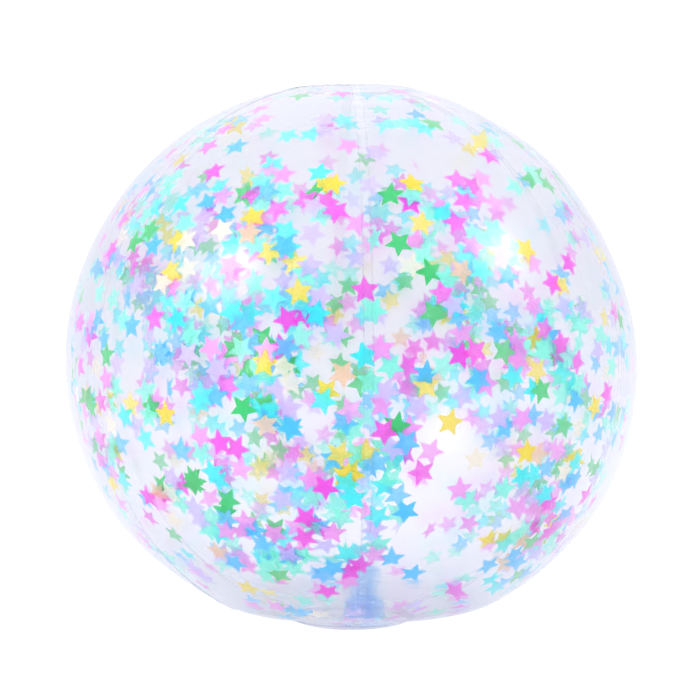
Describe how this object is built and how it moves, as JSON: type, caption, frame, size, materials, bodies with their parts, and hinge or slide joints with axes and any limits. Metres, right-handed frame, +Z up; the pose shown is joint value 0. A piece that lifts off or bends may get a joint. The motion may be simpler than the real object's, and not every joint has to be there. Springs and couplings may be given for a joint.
{
  "type": "inflatable beach ball",
  "caption": "Clear air-filled ball of welded film panels with loose star confetti inside and a push-in valve in its flat base.",
  "frame": {"origin": "on the floor under the middle of the ball, in the plane of the flat base", "axes": "+Z up, through the two poles where the panels meet; the valve stands a little towards +X of the axis; -Y is the front"},
  "size_m": [0.2647, 0.2649, 0.2525],
  "materials": {
    "film": "clear glossy vinyl film with a pale lavender cast",
    "cap_film": "clear glossy vinyl film patch",
    "valve_vinyl": "moulded clear soft vinyl, slightly milky",
    "foil_magenta": "glossy see-through foil, magenta",
    "foil_light_pink": "glossy see-through foil, light pink",
    "foil_lavender": "glossy see-through foil, lavender",
    "foil_sky_blue": "glossy see-through foil, sky blue",
    "foil_cyan": "glossy see-through foil, cyan",
    "foil_aqua": "glossy see-through foil, aqua",
    "foil_green": "glossy see-through foil, green",
    "foil_gold": "glossy see-through foil, gold",
    "foil_peach": "glossy see-through foil, peach",
    "foil_cream": "glossy see-through foil, cream"
  },
  "bodies": {
    "ball": {"gore_1": "film", "gore_2": "film", "gore_3": "film", "gore_4": "film", "gore_5": "film", "gore_6": "film", "top_cap": "cap_film", "bottom_cap": "cap_film", "valve_flange": "valve_vinyl", "valve_diaphragm": "valve_vinyl", "stars_magenta": "foil_magenta", "stars_light_pink": "foil_light_pink", "stars_lavender": "foil_lavender", "stars_sky_blue": "foil_sky_blue", "stars_cyan": "foil_cyan", "stars_aqua": "foil_aqua", "stars_green": "foil_green", "stars_gold": "foil_gold", "stars_peach": "foil_peach", "stars_cream": "foil_cream"},
    "stem": {"valve_stem": "valve_vinyl"},
    "flap": {"check_flap": "valve_vinyl"},
    "plug": {"valve_plug": "valve_vinyl", "plug_tether": "valve_vinyl"}
  },
  "joints": [
    {"name": "stem_slide", "type": "slide", "parent": "ball", "child": "stem", "axis": [0, 0, -1], "range_m": [0, 0.02], "deforming": ["valve_diaphragm"]},
    {"name": "plug_slide", "type": "slide", "parent": "stem", "child": "plug", "axis": [0, 0, -1], "range_m": [0, 0.012], "deforming": ["plug_tether"]},
    {"name": "flap_hinge", "type": "hinge", "parent": "stem", "child": "flap", "pos_m": [0.006, 0.0059, 0.02545], "axis": [-1, 0, 0], "range_deg": [0, 50]}
  ]
}
